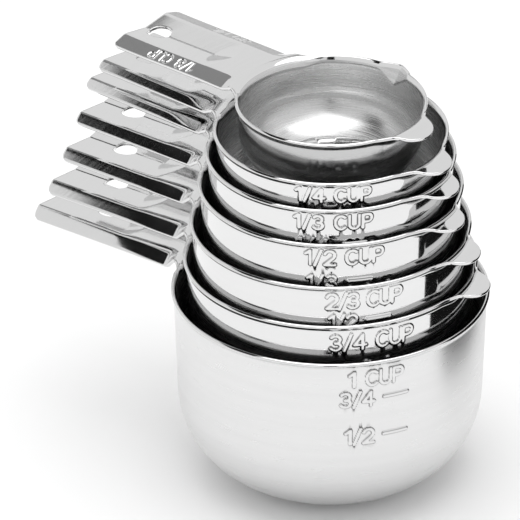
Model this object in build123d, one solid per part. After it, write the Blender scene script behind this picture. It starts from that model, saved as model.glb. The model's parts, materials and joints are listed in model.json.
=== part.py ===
from build123d import *

import os
from collections import namedtuple
from math import cos, hypot, radians, sin

# Nested measuring cups, millimetres, +Z up. The origin is the middle of the flat base of the 1 cup,
# the largest, and every cup is centred on Z. The handles point along -X and fan out a little.
# Each cup is one piece of pressed stainless sheet: bowl, handle, thumb tab and pouring lip.

# ---- driving dimensions shared by all the cups ----
SHEET = 0.9
DRAFT = radians(2.0)  # the wall leans out by this much

# The rim turns out at the top of the wall, and its edge is cut square to the sheet.
RIM_BEND_RADIUS = 2.2
RIM_LEAN = radians(50.0)  # how far the rim has turned from upright at its edge

# The handle is a channel with a shallow V along its middle and a turned-down flange on each side.
# The V ends in a flat plate towards the cup. The flanges run on to the webs that blend into the rim.
HANDLE_WIDTH = 25.4
RIDGE_HALF_WIDTH = 9.9
VALLEY_DEPTH = 1.3
CHANNEL_LENGTH = 29.0  # the V runs this far in from the free end
SCOOP_LENGTH = 5.2  # the V rises to the plate over this length
FLANGE_FADE = 2.0  # the flanges flatten out over this length at the webs
END_CORNER_RADIUS = 1.3
HANDLE_BLEND_RADIUS = 3.6  # seen from above, where the handle's sides meet the rim
HOLE_RADIUS = 3.15

# The thumb tab is a half-moon that leans down a little from the rim.
TAB_REACH = 6.0
TAB_RADIUS = 6.8
TAB_TILT = 10.0

# The pouring lip is a V pressed outward at the rim, a quarter turn from the handle.
LIP_HALF_WIDTH = 3.2
LIP_REACH = 1.7
LIP_ROOT_DEPTH = 2.6  # the wedge starts this far inside the rim, within the wall
LIP_DEPTH = 6.5
LIP_FROM_HANDLE = -92.0

TOOL_HEIGHT = 20.0  # of a cutting solid, taller than any handle or tab
TOLERANCE = 0.01

# One row for each cup, from the largest to the smallest:
#   rim_radius, depth      outside size of the bowl at its rim, and its height
#   rim_height             height of the rim above the table in the nested stack
#   corner_radius          outside radius between the base and the wall
#   handle_end, hole_at    distance from the cup's axis to the handle's free end and to its hole
#   flange_drop            how far the handle's side flanges turn down
#   handle_angle, tab_angle   directions in the XY plane, degrees from +X; no tab on the 1 cup
Cup = namedtuple(
    "Cup",
    "node rim_radius depth rim_height corner_radius handle_end hole_at flange_drop "
    "handle_angle tab_angle",
)
CUPS = [
    Cup("one_cup", 42.0, 54.0, 54.0, 25.5, 89.0, 72.3, 3.0, 181.8, None),
    Cup("three_quarter_cup", 38.8, 47.8, 63.5, 23.0, 83.9, 70.0, 2.7, 182.2, 15.0),
    Cup("two_thirds_cup", 37.05, 46.4, 74.2, 22.0, 79.7, 67.5, 2.4, 181.5, 11.0),
    Cup("half_cup", 34.9, 39.9, 85.6, 20.5, 75.7, 65.5, 2.1, 180.6, 3.1),
    Cup("third_cup", 32.9, 30.9, 94.7, 19.0, 74.5, 65.5, 1.8, 177.8, 3.6),
    Cup("quarter_cup", 30.9, 26.4, 101.4, 17.0, 70.2, 63.0, 1.6, 177.6, 2.5),
    Cup("eighth_cup", 25.2, 20.0, 109.7, 12.0, 66.2, 61.0, 1.4, 175.6, 1.6),
]


def wall_profile(cup, inset):
    """Half of the bowl's section in the XZ plane, base at z = 0, drawn inset into the sheet."""
    along = Vector(sin(DRAFT), cos(DRAFT))
    outward = Vector(cos(DRAFT), -sin(DRAFT))

    # The outside line fixes the centres: the rim's bend ends at the edge, the corner meets the base.
    edge = Vector(cup.rim_radius, cup.depth - SHEET * sin(RIM_LEAN))
    bend_centre = edge + Vector(cos(RIM_LEAN), -sin(RIM_LEAN)) * RIM_BEND_RADIUS
    bend_start = bend_centre - outward * RIM_BEND_RADIUS
    wall_length = (bend_start.Y + cup.corner_radius * (sin(DRAFT) - 1)) / cos(DRAFT)
    corner_centre = bend_start - along * wall_length - outward * cup.corner_radius

    def on_bend(angle):
        return bend_centre + Vector(-cos(angle), sin(angle)) * (RIM_BEND_RADIUS + inset)

    def on_corner(angle):
        return corner_centre + Vector(cos(angle), sin(angle)) * (cup.corner_radius - inset)

    base = (corner_centre.X, inset)
    corner_middle = flat(on_corner(-(radians(90) + DRAFT) / 2))
    corner_end = flat(on_corner(-DRAFT))
    bend_begin = flat(on_bend(DRAFT))
    bend_middle = flat(on_bend((DRAFT + RIM_LEAN) / 2))
    bend_end = flat(on_bend(RIM_LEAN))
    with BuildLine(Plane.XZ) as line:
        Line((0, inset), base)
        ThreePointArc(base, corner_middle, corner_end)
        Line(corner_end, bend_begin)
        ThreePointArc(bend_begin, bend_middle, bend_end)
        top = bend_end
        if inset == 0:
            top = (cup.rim_radius - SHEET * cos(RIM_LEAN), cup.depth)
            Line(bend_end, top)
        Line(top, (0, cup.depth))
        Line((0, cup.depth), (0, inset))
    return make_face(line.wires())


def flat(vector):
    """The first two coordinates of a vector."""
    return (vector.X, vector.Y)


def turned(cup, inset):
    """The bowl's outside as a solid, or its hollow when inset by the sheet's thickness."""
    return revolve(wall_profile(cup, inset), Axis.Z)


def sheet_section(x, top_points):
    """A strip of sheet in the plane at x. Its top follows the (y, z) points, from +y to -y."""
    down = []
    for (y0, z0), (y1, z1) in zip(top_points, top_points[1:]):
        run = hypot(y1 - y0, z1 - z0)
        down.append(((z0 - z1) / run, (y1 - y0) / run))
    before = down[:1] + down
    after = down + down[-1:]
    under = []
    for (y, z), (ay, az), (by, bz) in zip(top_points, before, after):
        mitre = SHEET / (1 + ay * by + az * bz)
        under.append((y + (ay + by) * mitre, z + (az + bz) * mitre))
    outline = [(x, y, z) for y, z in top_points + under[::-1]]
    return Face(Wire.make_polygon([Vector(p) for p in outline], close=True))


def handle(cup):
    """The handle along +X with its top ridges at z = 0, before it is trimmed to the bowl."""
    half = HANDLE_WIDTH / 2
    level = 0.01  # a hair of slope, so that faces side by side on the plate stay separate

    def section(x, flange, valley):
        points = [(half, -flange), (RIDGE_HALF_WIDTH, 0), (0, -valley), (-RIDGE_HALF_WIDTH, 0)]
        return sheet_section(x, points + [(-half, -flange)])

    root = cup.rim_radius - RIM_BEND_RADIUS
    web_end = cup.rim_radius + 2 * HANDLE_BLEND_RADIUS
    channel_end = cup.handle_end - CHANNEL_LENGTH
    stations = [
        section(root, level, level),
        section(web_end, level, level),
        section(web_end + FLANGE_FADE, cup.flange_drop, level),
        section(channel_end, cup.flange_drop, level),
        section(channel_end + SCOOP_LENGTH, cup.flange_drop, VALLEY_DEPTH),
        section(cup.handle_end, cup.flange_drop, VALLEY_DEPTH),
    ]
    body = Part()
    for here, there in zip(stations, stations[1:]):
        body += loft([here, there], ruled=True)

    # Round the two corners of the free end, then pierce the hanging hole.
    length = cup.handle_end - root
    outline = Pos(root + length / 2, 0) * Rectangle(length, HANDLE_WIDTH)
    free_corners = outline.vertices().group_by(Axis.X)[-1]
    outline = fillet(free_corners, END_CORNER_RADIUS)
    body = body & Pos(0, 0, -TOOL_HEIGHT / 2) * extrude(outline, TOOL_HEIGHT)
    return body - Pos(cup.hole_at, 0) * Cylinder(HOLE_RADIUS, TOOL_HEIGHT)


def root_gussets(cup):
    """The flat webs that blend the handle's two sides into the rim, top at z = 0."""
    reach = cup.rim_radius + 2 * HANDLE_BLEND_RADIUS
    strip = Pos(reach / 2, 0) * Rectangle(reach, HANDLE_WIDTH)
    outline = Circle(cup.rim_radius) + strip
    meeting = outline.vertices().filter_by(
        lambda v: abs(hypot(v.X, v.Y) - cup.rim_radius) < TOLERANCE
    )
    outline = fillet(meeting, HANDLE_BLEND_RADIUS)
    web = Pos(0, 0, -SHEET) * extrude(outline, SHEET)
    near_root = Pos(reach, 0) * Box(6 * HANDLE_BLEND_RADIUS, 2 * cup.rim_radius, TOOL_HEIGHT)
    return web & near_root


def thumb_tab(cup):
    """The half-moon tab along +X, its top meeting the rim at z = 0."""
    centre = TAB_REACH - TAB_RADIUS
    disc = Pos(centre, 0, -SHEET / 2) * Cylinder(TAB_RADIUS, SHEET)
    leaning = Pos(cup.rim_radius, 0) * Rot(0, TAB_TILT, 0) * disc
    within_rim = cup.rim_radius - 0.7 * SHEET
    return leaning - Cylinder(within_rim, TOOL_HEIGHT)


def lip_wedge(cup, inset):
    """The V of the pouring lip along +X, as a solid wedge that fades out down the wall."""
    tip = cup.rim_radius + LIP_REACH - inset
    root = cup.rim_radius - LIP_ROOT_DEPTH
    half = LIP_HALF_WIDTH * (tip - root) / LIP_REACH
    triangle = Polyline((tip, 0), (root, half), (root, -half), close=True)
    return loft([make_face(triangle), Vertex(root, 0, -LIP_DEPTH)])


def cup_solid(cup):
    """One whole cup at its place in the nested stack."""
    at_rim = Pos(0, 0, cup.depth)
    toward_handle = at_rim * Rot(0, 0, cup.handle_angle)
    toward_lip = at_rim * Rot(0, 0, cup.handle_angle + LIP_FROM_HANDLE)
    body = turned(cup, 0)
    body += toward_handle * handle(cup)
    body += toward_handle * root_gussets(cup)
    body += toward_lip * lip_wedge(cup, 0)
    if cup.tab_angle is not None:
        body += at_rim * Rot(0, 0, cup.tab_angle) * thumb_tab(cup)
    body -= turned(cup, SHEET)
    body -= toward_lip * lip_wedge(cup, SHEET)
    return Pos(0, 0, cup.rim_height - cup.depth) * body


os.makedirs("parts", exist_ok=True)
for cup in CUPS:
    solid = cup_solid(cup)
    solid.label = cup.node
    export_step(solid, f"parts/{cup.node}.step")
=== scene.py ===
import json
from collections import Counter, namedtuple
from math import acos, asin, atan2, ceil, cos, hypot, pi, radians, sin, sqrt, tan

import bpy
import numpy as np
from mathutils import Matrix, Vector


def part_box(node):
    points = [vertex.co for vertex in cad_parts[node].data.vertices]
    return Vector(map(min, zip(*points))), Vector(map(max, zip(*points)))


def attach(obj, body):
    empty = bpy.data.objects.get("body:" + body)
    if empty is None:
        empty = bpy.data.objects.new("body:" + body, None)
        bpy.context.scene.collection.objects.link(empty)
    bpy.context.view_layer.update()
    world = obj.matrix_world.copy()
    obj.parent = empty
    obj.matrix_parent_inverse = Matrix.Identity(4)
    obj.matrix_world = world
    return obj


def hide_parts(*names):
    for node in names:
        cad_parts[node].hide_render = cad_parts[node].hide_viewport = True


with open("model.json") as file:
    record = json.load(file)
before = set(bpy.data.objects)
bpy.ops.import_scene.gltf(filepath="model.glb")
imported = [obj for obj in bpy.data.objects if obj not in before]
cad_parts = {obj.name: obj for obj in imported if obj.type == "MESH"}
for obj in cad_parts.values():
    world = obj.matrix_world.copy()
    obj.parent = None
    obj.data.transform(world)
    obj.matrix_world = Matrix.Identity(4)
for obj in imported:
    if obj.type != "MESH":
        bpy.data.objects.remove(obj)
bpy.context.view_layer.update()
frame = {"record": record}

# A nested set of seven pressed steel measuring cups. Each cup is one thin sheet. This script draws the
# sheet's inner face over the bowl, the rim, the handle and the thumb tab, offsets it by the sheet's
# thickness for the outer face, and joins the two with a rounded edge. Shapes are worked out in
# millimetres, with the handle along +X and the base at z = 0, then turned and lifted to the frame.

MM = 0.001

# ---- sizes shared by all the cups ----
SHEET = 0.9
DRAFT = radians(2)
EDGE_ROUND = 0.22  # radius of the sheet's rounded edges
BEND_RADIUS = 2.2 + SHEET  # inner face of the turned-out rim, and of the bends into handle and tab
RIM_LEAN = radians(50)
FLAT_LEAN = radians(90)
TAB_LEAN = radians(99)
LOWERED_LENGTH = 7.0  # length of rim beside a plate over which the bend comes back up
ZONE_GAP = 5.0  # length of rim beside a handle or a tab where the mesh is finer
NEAR_TURN = radians(0.9)  # between columns of the mesh in that length
FAR_TURN = radians(2.0)  # between columns elsewhere on a plain wall
WALL_STEP = 2.0  # between rows up a plain wall

HANDLE_HALF = 12.7 - EDGE_ROUND
VALLEY_DEPTH = 1.3
CREASE_DEPTH = 0.14  # the thin groove along the bottom of the V
CREASE_HALF = 0.2
CHANNEL_LENGTH = 29.0
SCOOP_LENGTH = 6.5
SCOOP_BOW = 2.4
FLANGE_FADE = 3.4
END_CORNER = 1.3
ROOT_FILLET = 3.6  # at least
HOLE_RADIUS = 3.15 + EDGE_ROUND
TAB_RADIUS = 6.8 - EDGE_ROUND
TAB_REACH = 6.0 - EDGE_ROUND
TAB_FILLET = 5.0  # at least

LIP_ANGLE = radians(-92)  # from the handle
LIP_REACH = 1.7
LIP_HALF = 4.3
LIP_DEPTH = 4.6
LIP_CREASE = 0.01  # square of the distance over which the fold in the middle is rounded
LIP_ZONE = 5.6  # half the length of rim with a finer mesh at the lip

MARK_STEP = 0.235  # spacing of the mesh under raised marks
MARK_HEIGHT = 0.5
MARK_TOP = 0.34  # half-width of a stroke's flat top
MARK_FOOT = 0.7  # half-width of a stroke where it meets the wall
MARK_INSET = 0.42  # from the box around the letters to the middle of their strokes
MARK_PAST = 1.5  # degrees that the finer columns reach past the marks
MARK_MARGIN = 0.3  # millimetres that the finer rows reach above and below the marks
MARK_SIDE_PAINTED_SHADE = 0.16  # painted shade: tone the steel is painted on the steep sides of the raised marks
ENGRAVE_STEP = 0.16
ENGRAVE_DEPTH = 0.2
ENGRAVE_HALF = 0.24
ENGRAVE_HEIGHT = 3.0  # of the letters
NAME_PLACES = ((-1, 39.0, 12.0), (1, 39.5, 15.0))  # side of the handle, start and length of each name

# One row for each cup. Sizes are millimetres and tab_angle is in degrees from +X. The marks are rows of
# (text, first and last angle in degrees from the camera's side of the set, drop of the letters' top
# below the rim, letter height). The handle's ridges are ridge_half from its middle where the channel
# is and root_ridge from it at the rim, its free end sags by sag, and names are the texts on the two
# flanges, far and near.
Cup = namedtuple(
    "Cup",
    "node rim_radius depth corner_radius handle_end flange_drop "
    "ridge_half root_ridge sag tab_angle marks names",
)
CUPS = [
    Cup("one_cup", 42.0, 54.0, 25.5, 89.0, 3.0, 9.9, 8.6, 0.0, None,
        [("1 CUP", 6.0, 27.2, 2.4, 5.1), ("3/4 -", 3.0, 29.3, 8.6, 5.0),
         ("1/2 -", 4.8, 29.3, 20.0, 5.0)], ()),
    Cup("three_quarter_cup", 38.8, 47.8, 23.0, 83.9, 2.7, 9.9, 8.6, 0.0, 15.0,
        [("3/4 CUP", -0.8, 33.9, 2.5, 5.2)], ()),
    Cup("two_thirds_cup", 37.05, 46.4, 22.0, 79.7, 2.4, 9.9, 8.6, 0.0, 11.0,
        [("2/3 CUP", -2.6, 30.5, 1.7, 5.2), ("1/2 -", -1.5, 25.5, 8.2, 4.8)], ()),
    Cup("half_cup", 34.9, 39.9, 20.5, 75.7, 2.1, 9.9, 8.6, 0.0, 3.1,
        [("1/2 CUP", -12.0, 23.4, 1.5, 5.0), ("1/3 -", -11.2, 18.4, 9.0, 4.6)], ()),
    Cup("third_cup", 32.9, 30.9, 19.0, 74.5, 1.8, 9.9, 8.6, 0.0, 3.6,
        [("1/3 CUP", -18.0, 19.4, 1.4, 4.8), ("1/4 -", -17.0, 17.0, 8.4, 4.5)], ()),
    Cup("quarter_cup", 30.9, 26.4, 17.0, 70.2, 1.6, 9.9, 8.6, 0.0, 2.5,
        [("1/4 CUP", -18.5, 19.9, 1.3, 4.7)], ()),
    Cup("eighth_cup", 25.2, 20.0, 12.0, 66.2, 1.4, 7.9, 7.9, 1.0, 1.6, [], ("30 ML", "1/8 CUP")),
]
FRONT = radians(38 - 90)  # the direction that faces the camera, about Z


# ---- small helpers ----
def smooth(t):
    t = np.clip(t, 0.0, 1.0)
    return t * t * (3 - 2 * t)


def soft_max(a, b, reach):
    """The larger of a and b, with the corner between them rounded over the given reach."""
    near = np.maximum(reach - np.abs(a - b), 0.0) / reach
    return np.maximum(a, b) + near * near * reach / 4


def spaced(start, stop, step):
    """Evenly spaced numbers from start to stop, no further apart than step, without the last one."""
    return list(np.linspace(start, stop, max(1, ceil((stop - start) / step)) + 1)[:-1])


# ---- letters as strokes, in a box one unit high ----
def arc(x, y, rx, ry, first, last):
    turns = np.radians(np.linspace(first, last, 14))
    return [(x + rx * cos(t), y + ry * sin(t)) for t in turns]


GLYPHS = {
    "0": (0.66, [arc(0.33, 0.5, 0.33, 0.5, 0, 360)]),
    "1": (0.36, [[(0.0, 0.76), (0.3, 1.0), (0.3, 0.0)]]),
    "2": (0.64, [arc(0.32, 0.69, 0.31, 0.31, 165, -42) + [(0.0, 0.0), (0.66, 0.0)]]),
    "3": (0.62, [arc(0.28, 0.74, 0.28, 0.26, 150, -90), arc(0.28, 0.26, 0.32, 0.26, 90, -150)]),
    "4": (0.7, [[(0.5, 0.0), (0.5, 1.0), (0.0, 0.3), (0.7, 0.3)]]),
    "6": (0.64, [arc(0.6, 0.3, 0.6, 0.7, 95, 180), arc(0.31, 0.3, 0.31, 0.3, 0, 360)]),
    "8": (0.64, [arc(0.32, 0.74, 0.26, 0.26, 0, 360), arc(0.32, 0.25, 0.32, 0.25, 0, 360)]),
    "C": (0.68, [arc(0.38, 0.5, 0.38, 0.5, 48, 312)]),
    "U": (0.66, [[(0.0, 1.0)] + arc(0.33, 0.34, 0.33, 0.34, 180, 360) + [(0.66, 1.0)]]),
    "P": (0.6, [[(0.0, 0.0), (0.0, 1.0)] + arc(0.32, 0.72, 0.28, 0.28, 90, -90) + [(0.0, 0.44)]]),
    "M": (0.8, [[(0.0, 0.0), (0.0, 1.0), (0.4, 0.35), (0.8, 1.0), (0.8, 0.0)]]),
    "L": (0.5, [[(0.0, 1.0), (0.0, 0.0), (0.5, 0.0)]]),
    "/": (0.42, [[(0.0, -0.06), (0.42, 1.06)]]),
    "-": (1.6, [[(0.0, 0.5), (1.6, 0.5)]]),
    " ": (0.3, []),
}


def strokes(text, start, stop, bottom, height):
    """The line segments of a text whose letters fill start to stop, as rows of x0, y0, x1, y1."""
    widths = [GLYPHS[letter][0] * height for letter in text]
    gap = (stop - start - sum(widths)) / (len(text) - 1)
    rows = []
    x = start
    for letter, width in zip(text, widths):
        for line in GLYPHS[letter][1]:
            for (x0, y0), (x1, y1) in zip(line, line[1:]):
                rows.append((x + x0 * height, bottom + y0 * height,
                             x + x1 * height, bottom + y1 * height))
        x += width + gap
    return np.array(rows)


def stroke_distance(points, segments):
    """Distance from each (x, y) point to the nearest segment."""
    nearest = np.full(len(points), 1e3)
    for x0, y0, x1, y1 in segments:
        along = np.array([x1 - x0, y1 - y0])
        offset = points - (x0, y0)
        t = np.clip(offset @ along / max(along @ along, 1e-9), 0, 1)
        nearest = np.minimum(nearest, np.hypot(*(offset - t[:, None] * along).T))
    return nearest


# ---- the outline where a plate leaves the rim ----
class Plate:
    """The outline of a plate drawn outward from the rim, with a rounded corner on each side.

    The corner is an arc about (fillet_x, fillet_y) that starts on the free edge of the rim. Where the arc
    is inside the circle on which the plate starts, the rim is only partly turned out.
    """

    def __init__(self, circle, fillet_x, fillet_y, fillet):
        self.circle = circle
        self.fillet_x = fillet_x
        self.fillet_y = fillet_y
        self.fillet = fillet
        away = hypot(fillet_x, fillet_y)
        self.half_angle = atan2(fillet_y, fillet_x)
        inside = acos((away**2 + circle**2 - fillet**2) / (2 * away * circle))
        self.plate_angle = self.half_angle - inside
        self.reach_y = circle * sin(self.plate_angle)

    def start(self, y):
        return sqrt(self.circle**2 - y * y)

    def corner(self, y):
        """How far out the rounded corner's arc is in the column at y."""
        return self.fillet_x - sqrt(max(0.0, self.fillet**2 - (abs(y) - self.fillet_y) ** 2))

    def edge_radius(self, angle):
        """Distance from the cup's axis to the arc, at an angle between plate_angle and half_angle."""
        along = self.fillet_x * cos(angle) + self.fillet_y * sin(angle)
        away = self.fillet_x**2 + self.fillet_y**2
        return along - sqrt(max(0.0, self.fillet**2 - away + along**2))

    def column_angles(self):
        """Angles of the columns, and how many of them come before the plate starts."""
        side = list(np.linspace(self.plate_angle, self.half_angle, 7)[1:])
        plate = [asin(y / self.circle) for y in self.columns]
        return [-a for a in side[::-1]] + plate + side, len(side)


class Handle(Plate):
    """The flat plate, channel and rounded end, drawn outward from a circle about the cup's axis."""

    def __init__(self, cup, circle, edge, hole_at):
        self.reach_y = 0
        fillet = ROOT_FILLET
        while self.reach_y < HANDLE_HALF + 0.25:
            fillet_y = HANDLE_HALF + fillet
            super().__init__(circle, sqrt((edge + fillet) ** 2 - fillet_y**2), fillet_y, fillet)
            fillet += 0.25
        self.cup = cup
        self.hole_at = hole_at
        self.end = cup.handle_end - EDGE_ROUND
        self.channel_end = cup.handle_end - CHANNEL_LENGTH
        self.plate_start = max(self.fillet_x, circle + 0.3) + 0.5

        middle = [0.0, 0.1, 0.2, 0.34, 0.6, 1.0, 1.6, 2.3, 3.0, 3.6, 4.2]
        self.patch = [-y for y in middle[:0:-1]] + middle
        step = ENGRAVE_STEP if cup.names else 0.45
        flank = spaced(4.2, 7.8, 0.45)[1:] + spaced(7.8, HANDLE_HALF, step)
        last = acos(1 - (self.reach_y - HANDLE_HALF) / self.fillet)
        corner = [HANDLE_HALF + self.fillet * (1 - cos(t)) for t in np.linspace(0, last, 6)]
        half = middle + flank + corner[:-1] + [self.reach_y]
        self.columns = [-y for y in half[:0:-1]] + half

    def shoulder(self, y):
        """Where the root's rounded corner ends in the column at y."""
        if abs(y) > HANDLE_HALF + 1e-6:
            return self.corner(y)
        return max(self.fillet_x, self.start(y) + 0.3)

    def rows(self):
        """Distances along the handle, past the root's rounded corners."""
        hole = [self.hole_at + y for y in self.patch]
        step = ENGRAVE_STEP if self.cup.names else 0.6
        rows = spaced(self.plate_start, self.channel_end - 3, 0.5)
        rows += spaced(self.channel_end - 3, hole[0], step)
        rows += hole
        rows += spaced(hole[-1], self.end - 0.3, 0.6)[1:]
        return rows + [self.end - 0.3, self.end]

    def place(self, x, y):
        """Pulls a point back where the free end's corners are rounded."""
        beyond = max(0.0, abs(y) - (HANDLE_HALF - END_CORNER))
        bend_start = self.end - END_CORNER - 2
        if beyond > 0 and x > bend_start:
            end_here = self.end - END_CORNER + sqrt(max(0.0, END_CORNER**2 - beyond**2))
            x = bend_start + (x - bend_start) * (end_here - bend_start) / (self.end - bend_start)
        return x, y

    def height(self, x, y):
        """Height of the handle's top above the rim, for arrays of x and y."""
        cup = self.cup
        across = np.clip(1 - (y / cup.ridge_half) ** 2, 0, 1)
        scoop_start = self.channel_end - SCOOP_BOW * across
        into = np.clip((x - scoop_start) / np.maximum(SCOOP_LENGTH * across, 0.3), 0, 1)
        valley = np.maximum(1 - np.abs(y) / cup.ridge_half, 0.0)
        crease = np.maximum(1 - np.abs(y) / CREASE_HALF, 0.0)
        channel = into * (VALLEY_DEPTH * valley + CREASE_DEPTH * crease)
        rooted = smooth((self.channel_end + 3 - x) / (self.channel_end + 3 - self.fillet_x))
        ridge = cup.ridge_half + (cup.root_ridge - cup.ridge_half) * rooted
        past_ridge = soft_max(np.minimum(np.abs(y), HANDLE_HALF) - ridge, np.zeros_like(y), 0.7)
        fade = smooth((np.hypot(x, y) - self.circle) / FLANGE_FADE)
        flange = cup.flange_drop * past_ridge / (HANDLE_HALF - ridge) * fade
        sag = cup.sag * smooth((x - self.fillet_x) / (self.end - self.fillet_x))
        return -channel - flange - sag

    def engraving(self, x, y):
        """How deep the names are cut into the flanges."""
        middle = (self.cup.ridge_half + HANDLE_HALF) / 2 + 0.1
        depth = np.zeros(len(x))
        for text, (side, start, length) in zip(self.cup.names, NAME_PLACES):
            lines = strokes(text, start, start + length, -ENGRAVE_HEIGHT / 2, ENGRAVE_HEIGHT)
            points = np.stack([x, (y - side * middle)], 1)
            gap = stroke_distance(points, lines)
            depth = np.maximum(depth, ENGRAVE_DEPTH * smooth(1.5 - gap / ENGRAVE_HALF))
        return depth


class Tab(Plate):
    """The half-moon plate opposite the handle."""

    def __init__(self, cup, circle, edge):
        self.centre = cup.rim_radius + TAB_REACH - TAB_RADIUS
        self.reach_y = self.join_y = 0
        fillet = TAB_FILLET
        while self.reach_y < self.join_y + 0.12:
            away = edge + fillet
            meet = TAB_RADIUS + fillet
            turn = acos((self.centre**2 + away**2 - meet**2) / (2 * self.centre * away))
            super().__init__(circle, away * cos(turn), away * sin(turn), fillet)
            self.join_y = self.fillet_y * TAB_RADIUS / meet
            fillet += 0.25
        steps = [self.join_y * sin(t) for t in np.linspace(0, pi / 2, 12)]
        half = steps[:-1] + list(np.linspace(self.join_y, self.reach_y, 7))
        self.columns = [-y for y in half[:0:-1]] + half

    def shoulder(self, y):
        if abs(y) <= self.join_y:
            return self.centre + sqrt(TAB_RADIUS**2 - y * y)
        return self.corner(y)

    def height(self, x, y):
        return -(np.hypot(x, y) - self.circle) * tan(TAB_LEAN - FLAT_LEAN)


# ---- one cup's sheet ----
class Sheet:
    """The inner face as vertices and faces, then the closed sheet."""

    def __init__(self, cup, handle_angle, hole_at):
        self.cup = cup
        self.handle_angle = handle_angle
        self.points = []
        self.faces = []
        self.polished = []  # for each face, whether its top is outside the brushed bowl
        self.marks = []
        self.free_lean = RIM_LEAN - EDGE_ROUND / BEND_RADIUS
        self.fix_profile()
        edge = self.bend_point(0, self.free_lean)[0]
        flat_circle = self.bend_point(1, FLAT_LEAN)[0]
        tab_circle, self.tab_level = self.bend_point(1, TAB_LEAN)
        self.handle = Handle(cup, flat_circle, edge, hole_at)
        self.tab = None
        if cup.tab_angle is not None:
            self.tab = Tab(cup, tab_circle, edge)
            self.tab_turn = (radians(cup.tab_angle) - handle_angle) % (2 * pi)
        self.fix_marks()
        self.fix_columns()
        self.draw_bowl()
        self.draw_handle()
        if self.tab:
            self.draw_tab()

    def fix_profile(self):
        """The wall's line and the corner's centre, for the inner face."""
        cup = self.cup
        edge_x = cup.rim_radius - SHEET * cos(RIM_LEAN)
        self.start_z = cup.depth - BEND_RADIUS * (sin(RIM_LEAN) - sin(DRAFT))
        self.start_r = edge_x - BEND_RADIUS * (cos(DRAFT) - cos(RIM_LEAN))
        radius = cup.corner_radius - SHEET
        length = (self.start_z - SHEET + radius * (sin(DRAFT) - 1)) / cos(DRAFT)
        self.corner_r = self.start_r - length * sin(DRAFT) - radius * cos(DRAFT)
        self.corner_z = SHEET + radius

    def bend_point(self, lowered, turn):
        """Radius and height on the rim's bend where it has turned by turn.

        The bend is lowered, from 0 to 1, beside a plate, so that the plate's top is level with the rim.
        """
        top = sin(self.free_lean) + lowered * (1 - sin(self.free_lean))
        z = self.cup.depth - BEND_RADIUS * (top - sin(DRAFT))
        r = self.start_r + (z - self.start_z) * tan(DRAFT)
        return r + BEND_RADIUS * (cos(DRAFT) - cos(turn)), z + BEND_RADIUS * (sin(turn) - sin(DRAFT))

    def rim(self, angle):
        """How much the bend is lowered, and how far it turns, in the column at this angle."""
        plates = [(self.handle, angle, FLAT_LEAN)]
        if self.tab:
            plates.append((self.tab, angle - self.tab_turn, TAB_LEAN))
        for plate, away, full in plates:
            away = abs((away + pi) % (2 * pi) - pi)
            if away <= plate.plate_angle:
                return 1.0, full
            beside = (away - plate.plate_angle) * self.cup.rim_radius
            lowered = float(smooth(1 - beside / LOWERED_LENGTH))
            if away < plate.half_angle:
                leans = np.linspace(self.free_lean, full, 60)
                radii = [self.bend_point(lowered, lean)[0] for lean in leans]
                return lowered, float(np.interp(plate.edge_radius(away), radii, leans))
            if lowered > 0:
                return lowered, self.free_lean
        return 0.0, self.free_lean

    def fix_marks(self):
        """Each raised mark as strokes over (distance along the wall, height)."""
        cup = self.cup
        self.front = (FRONT - self.handle_angle) % (2 * pi)
        for text, first, last, drop, height in cup.marks:
            start = radians(first) * cup.rim_radius + MARK_INSET
            stop = radians(last) * cup.rim_radius - MARK_INSET
            bottom = cup.depth - drop - height + MARK_INSET
            self.marks.append(strokes(text, start, stop, bottom, height - 2 * MARK_INSET))

    def fix_columns(self):
        """Angles from the handle, fine where the sheet has detail. They run once round the cup."""
        cup = self.cup
        handle_zone, self.handle_column = self.handle.column_angles()
        zones = [handle_zone]
        lip = np.linspace(-LIP_ZONE, LIP_ZONE, 33) / cup.rim_radius
        zones.insert(0, list(LIP_ANGLE + lip))
        if cup.marks:
            first = self.front + radians(min(mark[1] for mark in cup.marks) - MARK_PAST)
            last = self.front + radians(max(mark[2] for mark in cup.marks) + MARK_PAST)
            step = MARK_STEP / cup.rim_radius
            zones.append(spaced(first, last, step) + [last])
        if self.tab:
            tab_zone, self.tab_column = self.tab.column_angles()
            zones.append([self.tab_turn + angle for angle in tab_zone])
        blend = ZONE_GAP / cup.rim_radius
        angles = []
        for zone, after in zip(zones, zones[1:] + [[zones[0][0] + 2 * pi]]):
            first = len(angles)
            angles += zone
            here, there = zone[-1], after[0]
            if there - here > 3 * blend:
                angles += spaced(here, here + blend, NEAR_TURN)[1:]
                angles += spaced(here + blend, there - blend, FAR_TURN)
                angles += spaced(there - blend, there, NEAR_TURN)
            else:
                angles += spaced(here, there, radians(1.0))[1:]
            if zone is handle_zone:
                self.handle_column += first
            if self.tab and zone is zones[-1]:
                self.tab_column += first
        self.angles = angles

    def wall_rows(self):
        """Heights up the straight wall, fine under the marks."""
        cup = self.cup
        low = self.corner_z - (cup.corner_radius - SHEET) * sin(DRAFT)
        high = cup.depth - BEND_RADIUS - 0.35
        bands = []
        for text, first, last, drop, height in cup.marks:
            top = cup.depth - drop
            bands.append((top - height - MARK_MARGIN, top + MARK_MARGIN))
        rows = []
        z = low
        for first, last in sorted(bands) + [(high - 1.5, high)]:
            first = max(first, z)
            last = min(last, high)
            if first > z:
                rows += spaced(z, first, WALL_STEP)
            if last > first:
                rows += spaced(first, last, MARK_STEP if cup.marks else 0.5)
                z = last
        return rows[1:] + [high]

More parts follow.
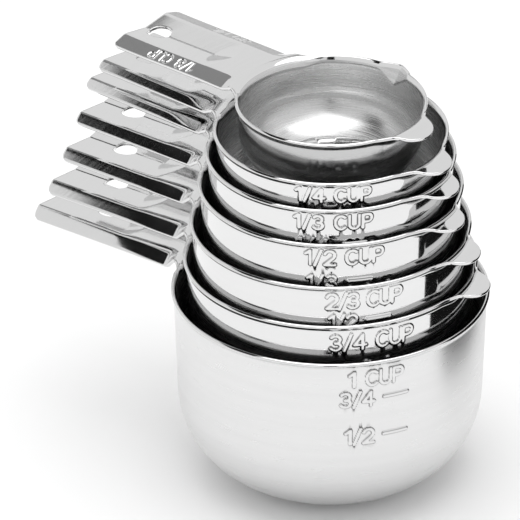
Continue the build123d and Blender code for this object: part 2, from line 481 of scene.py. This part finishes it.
    def draw_bowl(self):
        cup = self.cup
        radius = cup.corner_radius - SHEET
        profile = [(self.corner_r * part, SHEET) for part in (0.12, 0.3, 0.55, 0.8, 1.0)]
        for t in np.linspace(-pi / 2, -DRAFT, 19)[1:]:
            profile.append((self.corner_r + radius * cos(t), self.corner_z + radius * sin(t)))
        for z in self.wall_rows():
            profile.append((self.start_r + (z - self.start_z) * tan(DRAFT), z))
        under_bend = np.linspace(0, 1, 7)[1:-1]
        bend_steps = np.linspace(0, 1, 11)
        count = len(self.angles)
        self.points.append((0.0, 0.0, SHEET))
        for r, z in profile:
            for angle in self.angles:
                self.points.append(self.lipped(r, z, angle))
        rims = [self.rim(angle) for angle in self.angles]
        for part in under_bend:
            for angle, (lowered, lean) in zip(self.angles, rims):
                r, z = self.bend_point(lowered, DRAFT)
                below = (1 - part) * (z - profile[-1][1])
                self.points.append(self.lipped(r - below * tan(DRAFT), z - below, angle))
        for part in bend_steps:
            for angle, (lowered, lean) in zip(self.angles, rims):
                r, z = self.bend_point(lowered, DRAFT + part * (lean - DRAFT))
                self.points.append(self.lipped(r, z, angle))
        total = len(profile) + len(under_bend) + len(bend_steps)
        for i in range(count):
            j = (i + 1) % count
            self.faces.append((0, 1 + i, 1 + j))
            self.polished.append(False)
        for row in range(total - 1):
            for i in range(count):
                j = (i + 1) % count
                a = 1 + row * count
                self.faces.append((a + i, a + count + i, a + count + j, a + j))
                self.polished.append(row > total - 7)
        self.rim_row = 1 + (total - 1) * count
        self.wall_faces = count * (total - 6)

    def lipped(self, r, z, angle):
        """A point of the inner face, pressed outward where it is part of the pouring lip."""
        across = r * sin(angle - LIP_ANGLE)
        if abs(across) < 6 and cos(angle - LIP_ANGLE) > 0:
            below = self.cup.depth - z
            edge = self.cup.rim_radius - SHEET * cos(RIM_LEAN)
            fold = sqrt(across * across + LIP_CREASE) / LIP_HALF
            pressed = edge + LIP_REACH * (1 - fold) - below * (LIP_REACH + 1.1) / LIP_DEPTH
            r = float(soft_max(np.float64(r), np.float64(pressed), 0.15))
        return (r * cos(angle), r * sin(angle), z)

    def add_grid(self, columns):
        """Faces between neighbouring columns of vertex numbers. Equal numbers close to a triangle."""
        for left, right in zip(columns, columns[1:]):
            rows = min(len(left), len(right))
            for i in range(rows - 1):
                corners = [left[i], left[i + 1], right[i + 1], right[i]]
                ring = [c for k, c in enumerate(corners) if c != corners[k - 1]]
                if len(ring) > 2:
                    self.faces.append(tuple(ring))
                    self.polished.append(True)

    def draw_handle(self):
        handle = self.handle
        fractions = np.linspace(0, 1, 9)[1:]
        rows = handle.rows()
        hole_first = rows.index(handle.hole_at + handle.patch[0]) + len(fractions) + 1
        hole_last = hole_first + len(handle.patch) - 1
        columns = []
        for k, y in enumerate(handle.columns):
            column = [self.rim_row + self.handle_column + k]
            start, shoulder = handle.start(y), handle.shoulder(y)
            if abs(y) >= handle.reach_y - 1e-6:
                columns.append(column * (len(fractions) + 1))
                continue
            for part in fractions:
                column.append(self.add_top(start + part * (shoulder - start), y))
            if abs(y) <= HANDLE_HALF + 1e-6:
                for row, x in enumerate(rows):
                    inside = hole_first < row + len(fractions) + 1 < hole_last
                    if inside and abs(y) < handle.patch[-1] - 1e-6:
                        column.append(None)
                    else:
                        column.append(self.add_top(*handle.place(x, y)))
            columns.append(column)
        left = handle.columns.index(handle.patch[0])
        right = handle.columns.index(handle.patch[-1])
        for k in range(len(columns) - 1):
            if left <= k < right:
                self.add_grid([columns[k][: hole_first + 1], columns[k + 1][: hole_first + 1]])
                self.add_grid([columns[k][hole_last:], columns[k + 1][hole_last:]])
            else:
                self.add_grid([columns[k], columns[k + 1]])
        self.draw_hole(columns, left, right, hole_first, hole_last)

    def add_top(self, x, y):
        """A point on top of the handle."""
        height = float(self.handle.height(np.array([x]), np.array([y]))[0])
        self.points.append((x, y, self.cup.depth + height))
        return len(self.points) - 1

    def draw_hole(self, columns, left, right, first, last):
        """Rings from the square around the hole to the hole's edge."""
        square = [columns[k][first] for k in range(left, right)]
        square += [columns[right][row] for row in range(first, last)]
        square += [columns[k][last] for k in range(right, left, -1)]
        square += [columns[left][row] for row in range(last, first, -1)]
        rings = [square]
        for part in (0.4, 0.7, 0.88, 1.0):
            ring = []
            for vertex in square:
                x, y = self.points[vertex][0] - self.handle.hole_at, self.points[vertex][1]
                scale = 1 + part * (HOLE_RADIUS / hypot(x, y) - 1)
                ring.append(self.add_top(self.handle.hole_at + x * scale, y * scale))
            rings.append(ring)
        for outer, inner in zip(rings, rings[1:]):
            for i in range(len(square)):
                j = (i + 1) % len(square)
                self.faces.append((outer[j], outer[i], inner[i], inner[j]))
                self.polished.append(True)

    def draw_tab(self):
        tab = self.tab
        fractions = (0.2, 0.4, 0.6, 0.8, 0.93, 1.0)
        turn_cos, turn_sin = cos(self.tab_turn), sin(self.tab_turn)
        columns = []
        for k, y in enumerate(tab.columns):
            column = [self.rim_row + self.tab_column + k]
            if abs(y) >= tab.reach_y - 1e-6:
                columns.append(column * (len(fractions) + 1))
                continue
            start, shoulder = tab.start(y), tab.shoulder(y)
            for part in fractions:
                x = start + part * (shoulder - start)
                z = self.tab_level + float(tab.height(x, y))
                self.points.append((x * turn_cos - y * turn_sin, x * turn_sin + y * turn_cos, z))
                column.append(len(self.points) - 1)
            columns.append(column)
        self.add_grid(columns)

    def relief(self, points):
        """How far the marks press the wall outward at each point."""
        angle = np.arctan2(points[:, 1], points[:, 0])
        along = ((angle - self.front + pi) % (2 * pi) - pi) * self.cup.rim_radius
        flat = np.stack([along, points[:, 2]], 1)
        height = np.zeros(len(points))
        for lines in self.marks:
            low = lines[:, [0, 1]].min(0).clip(max=lines[:, [2, 3]].min(0)) - 1
            high = lines[:, [0, 1]].max(0).clip(min=lines[:, [2, 3]].max(0)) + 1
            near = ((flat > low) & (flat < high)).all(1)
            gap = stroke_distance(flat[near], lines)
            height[near] = MARK_HEIGHT * smooth((MARK_FOOT - gap) / (MARK_FOOT - MARK_TOP))
        return height

    def closed(self):
        """Vertices, faces and materials of the whole sheet.

        The materials are 0 for the bowl, 1 for the outer wall, and 2 for the rim and the plates. The last
        array is painted shade: how much each vertex is on the steep side of a raised mark, where the
        steel is painted darker.
        """
        inner = np.array(self.points)
        normals = vertex_normals(inner, self.faces)
        outer = inner - normals * SHEET
        radial = inner * (1, 1, 0)
        radial /= np.maximum(np.linalg.norm(radial, axis=1), 1e-6)[:, None]
        on_wall = (np.hypot(outer[:, 0], outer[:, 1]) < self.cup.rim_radius + 1)[:, None]
        relief = self.relief(outer) * on_wall[:, 0]
        pressed = radial * relief[:, None]
        top = inner[:, 2] > self.cup.depth - self.cup.flange_drop - self.cup.sag - 1
        beyond = inner[:, 0] > self.handle.fillet_x
        flank = top & beyond & (np.abs(inner[:, 1]) > self.cup.ridge_half - 0.6)
        carved = inner.copy()
        if self.cup.names:
            cut = self.handle.engraving(inner[flank, 0], inner[flank, 1])
            carved[flank] -= normals[flank] * cut[:, None]
        carved += 0.8 * pressed
        outer = outer + pressed
        count = len(inner)
        points = [carved, outer]
        faces = list(self.faces)
        kinds = [2 if p else 0 for p in self.polished]
        faces += [tuple(v + count for v in face[::-1]) for face in self.faces]
        kinds += [1 if number < self.wall_faces else 2 for number in range(len(self.faces))]
        # painted shade: strongest halfway up a raised mark's steep side, none on the inner face and the
        # edges
        rise = relief / MARK_HEIGHT
        painted_side_shade = [np.zeros(count), 4 * rise * (1 - rise)]
        total = 2 * count
        quarter = EDGE_ROUND * sin(pi / 4)
        corner = EDGE_ROUND - quarter
        section = [(quarter, corner), (EDGE_ROUND, EDGE_ROUND), (EDGE_ROUND, SHEET - EDGE_ROUND),
                   (quarter, SHEET - corner)]
        for loop in boundary_loops(self.faces):
            here = inner[loop]
            ahead = inner[np.roll(loop, -1)] - inner[np.roll(loop, 1)]
            ahead /= np.linalg.norm(ahead, axis=1)[:, None]
            down = -normals[loop]
            out = np.cross(down, ahead)
            out /= np.linalg.norm(out, axis=1)[:, None]
            rings = [np.array(loop)]
            for u, v in section:
                points.append(here + out * u + down * v)
                painted_side_shade.append(np.zeros(len(loop)))
                rings.append(np.arange(total, total + len(loop)))
                total += len(loop)
            rings.append(np.array(loop) + count)
            for above, below in zip(rings, rings[1:]):
                quads = np.stack([above, below, np.roll(below, -1), np.roll(above, -1)], 1)
                faces += [tuple(int(v) for v in quad) for quad in quads]
                kinds += [2] * len(quads)
        return np.concatenate(points), faces, kinds, np.concatenate(painted_side_shade)


def vertex_normals(points, faces):
    """Unit normals of the inner face, pointing into the bowl and up out of the handle."""
    normals = np.zeros_like(points)
    for size in (3, 4):
        group = np.array([f for f in faces if len(f) == size])
        a, b = points[group[:, 0]], points[group[:, size - 2]]
        c, d = points[group[:, 1]], points[group[:, size - 1]]
        normal = np.cross(b - a, d - c) if size == 4 else np.cross(c - a, d - a)
        normal /= np.maximum(np.linalg.norm(normal, axis=1), 1e-12)[:, None]
        for k in range(size):
            before = points[group[:, k - 1]] - points[group[:, k]]
            after = points[group[:, (k + 1) % size]] - points[group[:, k]]
            length = np.linalg.norm(before, axis=1) * np.linalg.norm(after, axis=1)
            corner = np.arccos(np.clip((before * after).sum(1) / np.maximum(length, 1e-12), -1, 1))
            np.add.at(normals, group[:, k], normal * corner[:, None])
    return normals / np.maximum(np.linalg.norm(normals, axis=1), 1e-12)[:, None]


def boundary_loops(faces):
    """Closed loops of vertices along the open edges, in the faces' direction."""
    uses = Counter()
    for face in faces:
        for a, b in zip(face, face[1:] + face[:1]):
            uses[(a, b)] += 1
    following = {a: b for a, b in uses if (b, a) not in uses}
    loops = []
    while following:
        first, vertex = following.popitem()
        loop = [first]
        while vertex != first:
            loop.append(vertex)
            vertex = following.pop(vertex)
        loops.append(loop)
    return loops


# ---- materials ----
def new_material(name):
    material = bpy.data.materials.new(name)
    material.use_nodes = True
    nodes = material.node_tree.nodes
    return material, nodes, material.node_tree.links, nodes["Principled BSDF"]


def add_math(nodes, links, operation, *inputs):
    """A Math node whose inputs are sockets or numbers. Returns its output."""
    node = nodes.new("ShaderNodeMath")
    node.operation = operation
    for slot, value in zip(node.inputs, inputs):
        if isinstance(value, (int, float)):
            slot.default_value = value
        else:
            links.new(value, slot)
    return node.outputs[0]


def turned_coordinates(nodes, links, around, across):
    """Coordinates that run long round the cup's axis and short across it, for turning marks."""
    place = nodes.new("ShaderNodeTexCoord").outputs["Object"]
    split = nodes.new("ShaderNodeSeparateXYZ")
    links.new(place, split.inputs[0])
    x, y, z = split.outputs
    square_x = add_math(nodes, links, "MULTIPLY", x, x)
    square_y = add_math(nodes, links, "MULTIPLY", y, y)
    radius = add_math(nodes, links, "SQRT", add_math(nodes, links, "ADD", square_x, square_y))
    join = nodes.new("ShaderNodeCombineXYZ")
    for axis, socket in enumerate((x, y)):
        turn = add_math(nodes, links, "DIVIDE", socket, radius)
        links.new(add_math(nodes, links, "MULTIPLY", turn, around), join.inputs[axis])
    outward = add_math(nodes, links, "ADD", radius, z)
    links.new(add_math(nodes, links, "MULTIPLY", outward, across), join.inputs[2])
    return join.outputs[0]


def noise(nodes, links, vector, scale, detail):
    node = nodes.new("ShaderNodeTexNoise")
    node.inputs["Scale"].default_value = scale
    node.inputs["Detail"].default_value = detail
    links.new(vector, node.inputs["Vector"])
    return node.outputs["Fac"]


def ranged(nodes, links, value, low, high):
    node = nodes.new("ShaderNodeMapRange")
    node.inputs["From Min"].default_value = 0.3
    node.inputs["From Max"].default_value = 0.7
    node.inputs["To Min"].default_value = low
    node.inputs["To Max"].default_value = high
    links.new(value, node.inputs["Value"])
    return node.outputs["Result"]


def steel(name, tone, roughness, spread, grain=0.0, around=2.0, stretch=0.0):
    """Stainless steel with turning marks, and painted shade on the steep sides of raised marks.

    The roughness varies by spread. The marks are grain metres deep, and longer round the cup where
    around is small. The gloss is stretched across them by stretch.
    """
    material, nodes, links, shader = new_material(name)
    shader.inputs["Metallic"].default_value = 1.0
    if stretch > 0:
        shader.inputs["Anisotropic"].default_value = stretch
        tangent = nodes.new("ShaderNodeTangent")
        tangent.direction_type = "RADIAL"
        tangent.axis = "Z"
        links.new(tangent.outputs["Tangent"], shader.inputs["Tangent"])
    coordinates = turned_coordinates(nodes, links, around, 1000.0)
    fine = noise(nodes, links, coordinates, 2.2, 3.0)
    broad = noise(nodes, links, coordinates, 0.45, 2.0)
    varied = ranged(nodes, links, fine, roughness - spread, roughness + spread)
    links.new(varied, shader.inputs["Roughness"])
    ramp = nodes.new("ShaderNodeValToRGB")
    low, high = tone * (1 - 0.6 * spread), tone * (1 + 0.3 * spread)
    ramp.color_ramp.elements[0].position = 0.3
    ramp.color_ramp.elements[0].color = (low, low, low, 1)
    ramp.color_ramp.elements[1].position = 0.7
    ramp.color_ramp.elements[1].color = (high, high, high, 1)
    # The ramp's lowest stop is the painted shade tone for the steep sides of the raised marks.
    painted_shade_stop = ramp.color_ramp.elements.new(0.0)
    painted_shade_stop.color = (MARK_SIDE_PAINTED_SHADE, MARK_SIDE_PAINTED_SHADE, MARK_SIDE_PAINTED_SHADE, 1)
    # Painted shade: the steel is painted darker on the steep sides of the raised marks, by the amount
    # stored on each vertex.
    side = nodes.new("ShaderNodeAttribute")
    side.attribute_name = "mark_side_painted_shade"
    painted_shade_darkening = add_math(nodes, links, "MULTIPLY", side.outputs["Fac"], -0.7)
    steady = add_math(nodes, links, "MAXIMUM", broad, 0.3)
    links.new(add_math(nodes, links, "ADD", steady, painted_shade_darkening), ramp.inputs["Fac"])
    links.new(ramp.outputs["Color"], shader.inputs["Base Color"])
    if grain > 0:
        bump = nodes.new("ShaderNodeBump")
        bump.inputs["Strength"].default_value = 1.0
        bump.inputs["Distance"].default_value = grain
        links.new(fine, bump.inputs["Height"])
        links.new(bump.outputs["Normal"], shader.inputs["Normal"])
    return material


BRUSHED = steel("brushed_inside", 0.66, 0.28, 0.1, grain=0.000008, around=1.1, stretch=0.6)
POLISHED = steel("polished", 0.78, 0.07, 0.02)
SATIN = steel("satin", 0.77, 0.3, 0.03)
SOFT = steel("soft_polish", 0.55, 0.17, 0.03)
WALLS = {"one_cup": SATIN, "eighth_cup": SOFT}  # outer walls that aren't mirror polished


# ---- the cups ----
def build_cup(cup):
    mounts = {mount["name"]: mount for mount in frame["record"]["mounts"]}
    hole = mounts[cup.node + "_hole"]["pos_m"]
    handle_angle = atan2(hole[1], hole[0])
    sheet = Sheet(cup, handle_angle, hypot(hole[0], hole[1]) / MM)
    points, faces, kinds, painted_side_shade = sheet.closed()
    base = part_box(cup.node)[0][2]
    turn = np.array([[cos(handle_angle), sin(handle_angle), 0],
                     [-sin(handle_angle), cos(handle_angle), 0], [0, 0, 1]])
    points = (points @ turn) * MM + (0, 0, base)
    mesh = bpy.data.meshes.new(cup.node + "_sheet")
    mesh.from_pydata(points.tolist(), [], faces)
    mesh.polygons.foreach_set("material_index", kinds)
    # Stores the painted shade of the raised marks' steep sides, which the steel materials read.
    mesh.attributes.new("mark_side_painted_shade", "FLOAT", "POINT").data.foreach_set("value", painted_side_shade)
    mesh.polygons.foreach_set("use_smooth", [True] * len(faces))
    for material in (BRUSHED, WALLS.get(cup.node, POLISHED), POLISHED):
        mesh.materials.append(material)
    piece = bpy.data.objects.new(cup.node + "_sheet", mesh)
    bpy.context.scene.collection.objects.link(piece)
    mesh.validate()
    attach(piece, cup.node)
    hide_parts(cup.node)


for cup in CUPS:
    build_cup(cup)


# ---- floor, light and camera ----
CAMERA_AZIMUTH = radians(38)
CAMERA_ELEVATION = radians(29.25)
CAMERA_DISTANCE = 2.5
SENSOR_WIDTH = 36.0  # millimetres, as is the lens
LENS = 659.0
FAR_CLIP = 20.0
AIM_HEIGHT = 0.0618
AIM_LEFT = 0.0185
FLOOR_HALF = 1.5
FLOOR_DROP = 0.0003  # keeps the floor clear of the largest cup's base
LAMP_HEIGHT = 1.6
LAMP_SIZE = 1.6
LAMP_POWER = 13.0
SKY_LIGHT = 0.85

RIGHT = Vector((cos(CAMERA_AZIMUTH), sin(CAMERA_AZIMUTH), 0))
TOWARD = Vector((sin(CAMERA_AZIMUTH), -cos(CAMERA_AZIMUTH), 0))
UP = Vector((0, 0, 1))

# Cards that only reflections see, as (name, tone, corners). A corner is metres to the right, toward the
# camera and up. They draw the dark bands of a studio on the polished steel.
CARDS = [
    ("card_right", 0.01,
     [(0.095, -0.1, 0.004), (0.095, 0.03, 0.004), (0.095, 0.03, 0.11), (0.095, -0.1, 0.11)]),
    ("card_front", 0.01,
     [(-0.06, 0.7, 0.1), (0.06, 0.7, 0.1), (0.06, 0.7, 0.9), (-0.06, 0.7, 0.9)]),
    ("card_behind", 0.55,
     [(-0.6, -0.9, 0.0), (0.8, -0.9, 0.0), (0.8, -0.9, 0.26), (-0.6, -0.9, 0.26)]),
    ("card_over_top", 0.28,
     [(-0.34, -0.5, 0.49), (0.04, -0.5, 0.49), (0.04, -0.21, 0.49), (-0.34, -0.21, 0.49)]),
    ("card_above", 0.01,
     [(-0.64, 0.14, 0.5), (-0.09, -0.4, 0.5), (0.07, -0.24, 0.5), (-0.48, 0.3, 0.5)]),
]


def flat_piece(name, corners, tone, roughness):
    """A flat quad of the studio, without gloss."""
    material, *_, shader = new_material(name)
    shader.inputs["Base Color"].default_value = (tone, tone, tone, 1)
    shader.inputs["Roughness"].default_value = roughness
    shader.inputs["Specular IOR Level"].default_value = 0.0
    mesh = bpy.data.meshes.new(name)
    mesh.from_pydata(corners, [], [(0, 1, 2, 3)])
    mesh.materials.append(material)
    piece = bpy.data.objects.new(name, mesh)
    bpy.context.scene.collection.objects.link(piece)
    return piece


signs = [(-1, -1), (1, -1), (1, 1), (-1, 1)]
flat_piece("floor", [(x * FLOOR_HALF, y * FLOOR_HALF, -FLOOR_DROP) for x, y in signs], 0.9, 0.9)
for name, tone, corners in CARDS:
    points = [RIGHT * side + TOWARD * ahead + UP * height for side, ahead, height in corners]
    card = flat_piece(name, points, tone, 1.0)
    card.visible_camera = False
    card.visible_diffuse = False
    card.visible_shadow = False

lamp_data = bpy.data.lights.new("overhead", "AREA")
lamp_data.shape = "RECTANGLE"
lamp_data.size = lamp_data.size_y = LAMP_SIZE
lamp_data.energy = LAMP_POWER
lamp = bpy.data.objects.new("overhead", lamp_data)
lamp.location = UP * LAMP_HEIGHT
bpy.context.scene.collection.objects.link(lamp)

# Plain white all round, a little brighter to the camera than to the steel.
world = bpy.data.worlds.new("studio")
bpy.context.scene.world = world
world.use_nodes = True
nodes, links = world.node_tree.nodes, world.node_tree.links
background = nodes["Background"]
background.inputs["Color"].default_value = (1, 1, 1, 1)
background.inputs["Strength"].default_value = SKY_LIGHT
seen = nodes.new("ShaderNodeBackground")
seen.inputs["Color"].default_value = (1, 1, 1, 1)
seen.inputs["Strength"].default_value = 1.0
path = nodes.new("ShaderNodeLightPath")
mix = nodes.new("ShaderNodeMixShader")
links.new(path.outputs["Is Camera Ray"], mix.inputs["Fac"])
links.new(background.outputs[0], mix.inputs[1])
links.new(seen.outputs[0], mix.inputs[2])
links.new(mix.outputs[0], nodes["World Output"].inputs["Surface"])

camera_data = bpy.data.cameras.new("camera")
camera_data.sensor_width = SENSOR_WIDTH
camera_data.lens = LENS
camera_data.clip_end = FAR_CLIP
camera = bpy.data.objects.new("camera", camera_data)
aim = UP * AIM_HEIGHT - RIGHT * AIM_LEFT
direction = TOWARD * cos(CAMERA_ELEVATION) + UP * sin(CAMERA_ELEVATION)
camera.location = aim + direction * CAMERA_DISTANCE
camera.rotation_euler = direction.to_track_quat("Z", "Y").to_euler()
bpy.context.scene.collection.objects.link(camera)
bpy.context.scene.camera = camera
bpy.context.scene.view_settings.view_transform = "Standard"
